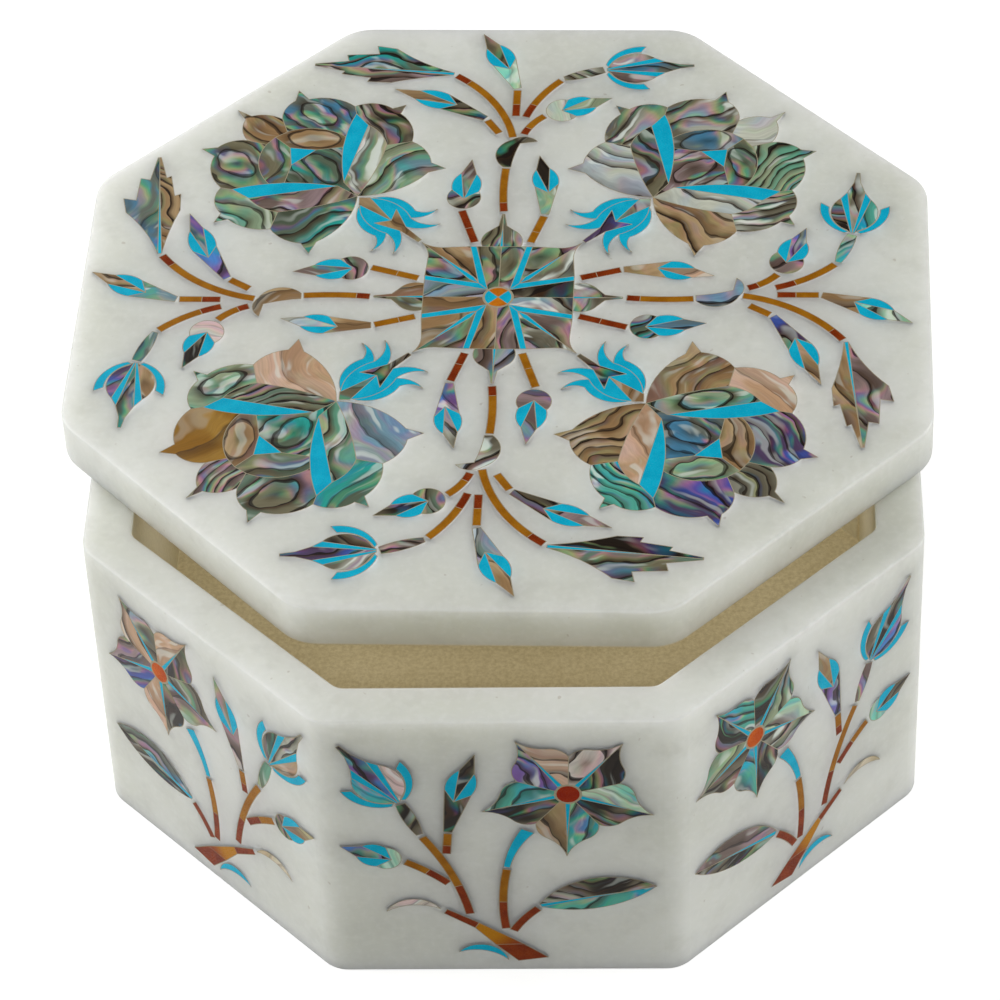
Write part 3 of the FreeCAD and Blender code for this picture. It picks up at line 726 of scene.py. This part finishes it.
# Wall chips by the places of their middles in mm, as on the front wall.  The half petals of the star
# lie within its reach of its eye; they are listed by the angle in degrees, from the upper right on.
STAR_EYE = (8.0, 30.5)
STAR_REACH = 8.0
STAR_START = 37.0
STAR_STEP = 36.0
ROOT = (-1.2, 6.1)
SPRAY = {
    "lotus_tip": (-15.4, 34.5), "lotus_left": (-15.0, 30.8), "lotus_right": (-12.0, 32.9),
    "lotus_neck": (-10.5, 26.5), "bud_tip": (-3.8, 33.6), "bud_neck": (-5.4, 27.6),
    "low_bud_tip": (-16.2, 20.8), "low_bud_neck": (-12.9, 19.5), "leaf_upper": (10.9, 14.4),
    "leaf_lower": (11.5, 12.3), "sliver": (-10.8, 11.9),
}
WALL_LOOKS = {
    "front": {
        "star": ["dark stripes", "pearl eye", "peach waves", "violet stripes", "aqua stripes",
                 "dark waves", "tan waves", "aqua waves", "dark stripes", "mint faint"],
        "lotus_tip": "violet stripes", "lotus_left": "aqua faint", "lotus_right": "pearl faint",
        "lotus_neck": "dark stripes", "bud_tip": "dark stripes", "bud_neck": "dark waves",
        "low_bud_tip": "violet stripes", "low_bud_neck": "mint faint", "leaf_upper": "dark stripes",
        "leaf_lower": "aqua waves", "sliver": "pearl faint",
    },
    "front_right": {
        "star": ["dark stripes", "aqua stripes", "dark waves", "green stripes", "mint waves",
                 "silver stripes", "dark stripes", "aqua waves", "dark waves", "green waves"],
        "lotus_tip": "dark stripes", "lotus_left": "violet stripes", "lotus_right": "dark waves",
        "lotus_neck": "mauve plain", "bud_tip": "tan plain", "bud_neck": "violet stripes",
        "low_bud_tip": "dark stripes", "low_bud_neck": "mint faint", "leaf_upper": "mauve waves",
        "leaf_lower": "dark stripes", "sliver": "ivory faint",
    },
    "front_left": {
        "star": ["peach waves", "silver eye", "peach plain", "dark waves", "silver waves",
                 "mauve waves", "dark waves", "peach plain", "purple waves", "mauve waves"],
        "lotus_tip": "silver stripes", "lotus_left": "tan plain", "lotus_right": "dark waves",
        "lotus_neck": "green plain", "bud_tip": "olive plain", "bud_neck": "mauve waves",
        "low_bud_tip": "tan plain", "low_bud_neck": "dark stripes", "leaf_upper": "blue stripes",
        "leaf_lower": "dark stripes", "sliver": "ivory faint",
    },
}
MEDALLION_LOOKS = ["olive waves", "silver waves", "tan waves", "olive eye", "mauve waves", "olive stripes",
                   "lavender waves", "dark waves", "tan plain", "silver plain"]

# In mm from the lid's middle: stems nearer than the first are each of one stone, and red chips nearer
# than the second are the orange quarters of the medallion
ONE_STONE_REACH = 15.5
QUARTERS_REACH = 3.0

# A chip is at a place if its middle lies nearer to it than this, in mm
SAME_PLACE = 1.0


def chip_look(look, draw):
    """What one chip carries: two colours with their shares, the figure, a seed and the grain's turn."""
    tone, figure = look.split()
    base, play, painted_glint, rainbow = TONES[tone]
    return {
        "tint": srgb(*base)[:3] + (painted_glint,),
        "play": srgb(*play)[:3] + (rainbow,),
        "figure": FIGURES[figure],
        "seed": draw.randint(*SEEDS),
        "turn": draw.uniform(-GRAIN_TURN, GRAIN_TURN),
    }


def wall_place(node, middle):
    """A chip's wall, and its place as on the front wall: every other wall is its mirror image."""
    wall = node.split("_wall_")[0]
    hand = 1 if WALLS.index(wall) % 2 == 0 else -1
    return wall, np.array([middle[0] * hand, middle[1]])


def nearest(place, places):
    """The name of the place in a table that is nearest to a given one."""
    return min(places, key=lambda name: np.linalg.norm(place - places[name]))


def wall_look(node, middle):
    """The look of a shell chip on a wall.  Walls without looks of their own share the listed ones."""
    wall, place = wall_place(node, middle)
    looks = WALL_LOOKS.get(wall) or list(WALL_LOOKS.values())[WALLS.index(wall) % len(WALL_LOOKS)]
    out = place - STAR_EYE
    if np.linalg.norm(out) >= STAR_REACH:
        return looks[nearest(place, SPRAY)]
    angle = math.degrees(math.atan2(out[1], out[0]))
    return looks["star"][round((angle - STAR_START) / STAR_STEP) % len(looks["star"])]


def shell_look(node, middle, number):
    draw = random.Random(f"{node} {number}")
    look = draw.choice(MEDALLION_LOOKS)
    if "_rose_" in node:
        rose = node.split("_")[1]
        look = ROSE_LOOKS[rose][nearest(middle * ROSES[rose], PETALS)]
    elif "_branch_" in node:
        branch = node.split("_")[1]
        look = BRANCH_LOOKS[branch][nearest(BRANCHES[branch] @ middle, TWIGS)]
    elif "_wall_" in node:
        look = wall_look(node, middle)
    return chip_look(look, draw)


def turquoise_look(node, middle, number):
    return chip_look("turquoise plain", random.Random(f"{node} {number}"))


def stem_tone(node, middle, usual):
    """The stone of a stem.

    Round the lid's medallion, the stems to its right are red and those to its left ochre; of those
    behind and before it, the left ones are red and the right ones ochre.
    """
    if not node.startswith("lid") or np.linalg.norm(middle) > ONE_STONE_REACH:
        return usual
    across, deep = middle
    beside = abs(across) > abs(deep)
    return "red" if (across > 0) == beside else "ochre"


def ochre_look(node, middle, number):
    """Ochre stems, and the graded roots of the wall sprays."""
    look = stem_tone(node, middle, "ochre") + " plain"
    if "_wall_" in node and np.linalg.norm(wall_place(node, middle)[1] - ROOT) < SAME_PLACE:
        look = "root graded"
    return chip_look(look, random.Random(f"{node} {number}"))


def red_look(node, middle, number):
    """Red-brown stems, the orange quarters of the lid's medallion and the eyes of the stars."""
    tone = stem_tone(node, middle, "red")
    if node.startswith("lid") and np.linalg.norm(middle) < QUARTERS_REACH:
        tone = "amber"
    elif "_wall_" in node:
        wall, place = wall_place(node, middle)
        if np.linalg.norm(place - STAR_EYE) < SAME_PLACE:
            tone = "carnelian" if WALLS.index(wall) % 2 == 0 else "orange"
    return chip_look(tone + " plain", random.Random(f"{node} {number}"))


# Stage

# Floor and world: how bright the camera sees them, and the weaker light that the world gives
FLOOR_HALF = 3.0
FLOOR_PAPER = srgb(190, 190, 188)
FLOOR_GLOW = 0.72
WORLD_SEEN = 1.0
WORLD_LIGHT = 0.19

# Lamps of the studio: place, the point that they face, diameter and power, in metres and watts
STUDIO_LAMPS = {
    "top_light": ((-0.2, 0.26, 0.42), (0.0, 0.0, 0.03), 0.24, 0.68),
    "front_light": ((0.025, -0.47, 0.468), (0.0, -0.02, 0.03), 0.1, 1.2),
    "left_light": ((-0.8, 0.1, 0.22), (0.0, 0.0, 0.03), 0.5, 4.3),
    "right_light": ((0.8, 0.1, 0.22), (0.0, 0.0, 0.03), 0.5, 3.7),
}

# Weak lamps inside the box, for the light that its marble and the gaps under the lid let in: one at
# each wall that shines inwards, two that shine down the side walls, and one over the floor
GLOW_REACH = 0.038
GLOW_HEIGHT = 0.024
GLOW_TARGET = (0.0, 0.0, 0.022)
GLOW_DIAMETER = 0.03
GLOW_POWER = 0.00014
INNER_LAMPS = {
    "left_fill": ((-0.028, 0.01, 0.037), (-0.037, 0.01, 0.006), 0.03, 0.0015),
    "right_fill": ((0.028, 0.01, 0.037), (0.037, 0.01, 0.006), 0.03, 0.0015),
    "floor_glow": ((0.0, 0.0, 0.008), (0.0, 0.0, 0.05), 0.07, 0.0023),
}


def look_at_part():
    camera = bpy.data.cameras.new("camera")
    camera.sensor_width = SENSOR_WIDTH
    camera.lens = FOCAL_SHARE * SENSOR_WIDTH
    camera.clip_start = NEAREST_SEEN
    forward = Vector((math.sin(CAMERA_YAW) * math.cos(CAMERA_PITCH),
                      math.cos(CAMERA_YAW) * math.cos(CAMERA_PITCH), -math.sin(CAMERA_PITCH)))
    right = Vector((math.cos(CAMERA_YAW), -math.sin(CAMERA_YAW), 0.0))
    up = right.cross(forward)
    cos, sin = math.cos(CAMERA_ROLL), math.sin(CAMERA_ROLL)
    rolled_right = right * cos + up * sin
    rolled_up = up * cos - right * sin
    turn = Matrix((rolled_right, rolled_up, -forward)).transposed()
    view = bpy.data.objects.new("camera", camera)
    view.matrix_world = Matrix.Translation(CAMERA_PLACE) @ turn.to_4x4()
    bpy.context.scene.collection.objects.link(view)
    bpy.context.scene.camera = view


def area_light(name, place, target, diameter, power):
    light = bpy.data.lights.new(name, "AREA")
    light.shape = "DISK"
    light.size = diameter
    light.energy = power
    lamp = bpy.data.objects.new(name, light)
    lamp.location = place
    lamp.rotation_euler = (Vector(target) - Vector(place)).to_track_quat("-Z", "Y").to_euler()
    lamp.visible_camera = False
    bpy.context.scene.collection.objects.link(lamp)


def wall_glows():
    glows = {}
    for number, wall in enumerate(WALLS):
        angle = number * WALL_TURN
        place = (GLOW_REACH * math.sin(angle), -GLOW_REACH * math.cos(angle), GLOW_HEIGHT)
        glows[wall + "_glow"] = (place, GLOW_TARGET, GLOW_DIAMETER, GLOW_POWER)
    return glows


def floor():
    half = FLOOR_HALF
    corners = [(-half, -half, 0), (half, -half, 0), (half, half, 0), (-half, half, 0)]
    mesh = bpy.data.meshes.new("floor")
    mesh.from_pydata(corners, [], [(0, 1, 2, 3)])
    shader = Shader("floor")
    ray = shader.node("LightPath").outputs
    seen = shader.math("MAXIMUM", ray["Is Camera Ray"], ray["Is Glossy Ray"])
    paper = shader.node("BsdfDiffuse", {"Color": FLOOR_PAPER})
    glow = shader.node("Emission", {"Color": WHITE, "Strength": shader.times(seen, FLOOR_GLOW)})
    both = shader.node("AddShader", {0: paper.outputs[0], 1: glow.outputs[0]})
    shader.node("OutputMaterial", {"Surface": both.outputs[0]})
    mesh.materials.append(shader.material)
    piece = bpy.data.objects.new("floor", mesh)
    bpy.context.scene.collection.objects.link(piece)


def surroundings():
    world = bpy.data.worlds.new("studio")
    bpy.context.scene.world = world
    world.use_nodes = True
    nodes = world.node_tree.nodes
    links = world.node_tree.links
    nodes.clear()
    ray = nodes.new("ShaderNodeLightPath")
    seen = nodes.new("ShaderNodeMath")
    seen.operation = "MAXIMUM"
    links.new(ray.outputs["Is Camera Ray"], seen.inputs[0])
    links.new(ray.outputs["Is Transmission Ray"], seen.inputs[1])
    strength = nodes.new("ShaderNodeMapRange")
    strength.inputs["To Min"].default_value = WORLD_LIGHT
    strength.inputs["To Max"].default_value = WORLD_SEEN
    links.new(seen.outputs[0], strength.inputs["Value"])
    background = nodes.new("ShaderNodeBackground")
    background.inputs["Color"].default_value = WHITE
    links.new(strength.outputs[0], background.inputs["Strength"])
    output = nodes.new("ShaderNodeOutputWorld")
    links.new(background.outputs[0], output.inputs["Surface"])


# Dressing

# The slot, the material and the look of each kind of chip, by the end of its node's name
MATERIALS = {
    "shell": ("abalone_shell", shell_material(), shell_look),
    "turquoise": ("turquoise_stone", stone_material("turquoise_stone"), turquoise_look),
    "ochre_stems": ("ochre_stone", stone_material("ochre_stone"), ochre_look),
    "red_stone": ("red_stone", stone_material("red_stone"), red_look),
}


def node_kind(node):
    return next(kind for kind in MATERIALS if node.endswith("_" + kind))


def dress():
    """Marble on the two blocks, and chips and cement in the hollows of the lid and of each wall."""
    marble = marble_material()
    for node in ("base_body", "lid_slab"):
        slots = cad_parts[node].data.materials
        slots.clear()
        slots.append(marble)
    surfaces = {"lid": (lid_surface(), "lid", "lid_slab")}
    for number, wall in enumerate(WALLS):
        surfaces[wall + "_wall"] = (wall_surface(number), "base", "base_body")
    marbles = {name: welded(name) for name in ("base_body", "lid_slab")}
    beds = {"base": [], "lid": []}
    for prefix, (surface, body, marble_node) in surfaces.items():
        chip_loops = []
        for node in sorted(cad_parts):
            if node.startswith(prefix + "_") and node != "lid_slab":
                slot, material, style_of = MATERIALS[node_kind(node)]
                chip_loops += chip_piece(node, surface, material, body, style_of)
        outlines = face_loops(marbles[marble_node], surface)
        hollows = [loop for loop in outlines if area(loop) < 0]
        beds[body].append((surface, hollows, chip_loops))
    cement = cement_material()
    for body in beds:
        cement_piece(body + "_cement", beds[body], cement, body)


look_at_part()
surroundings()
floor()
for lamp_name, lamp in {**STUDIO_LAMPS, **wall_glows(), **INNER_LAMPS}.items():
    area_light(lamp_name, *lamp)
dress()

bpy.context.scene.view_settings.view_transform = "Standard"
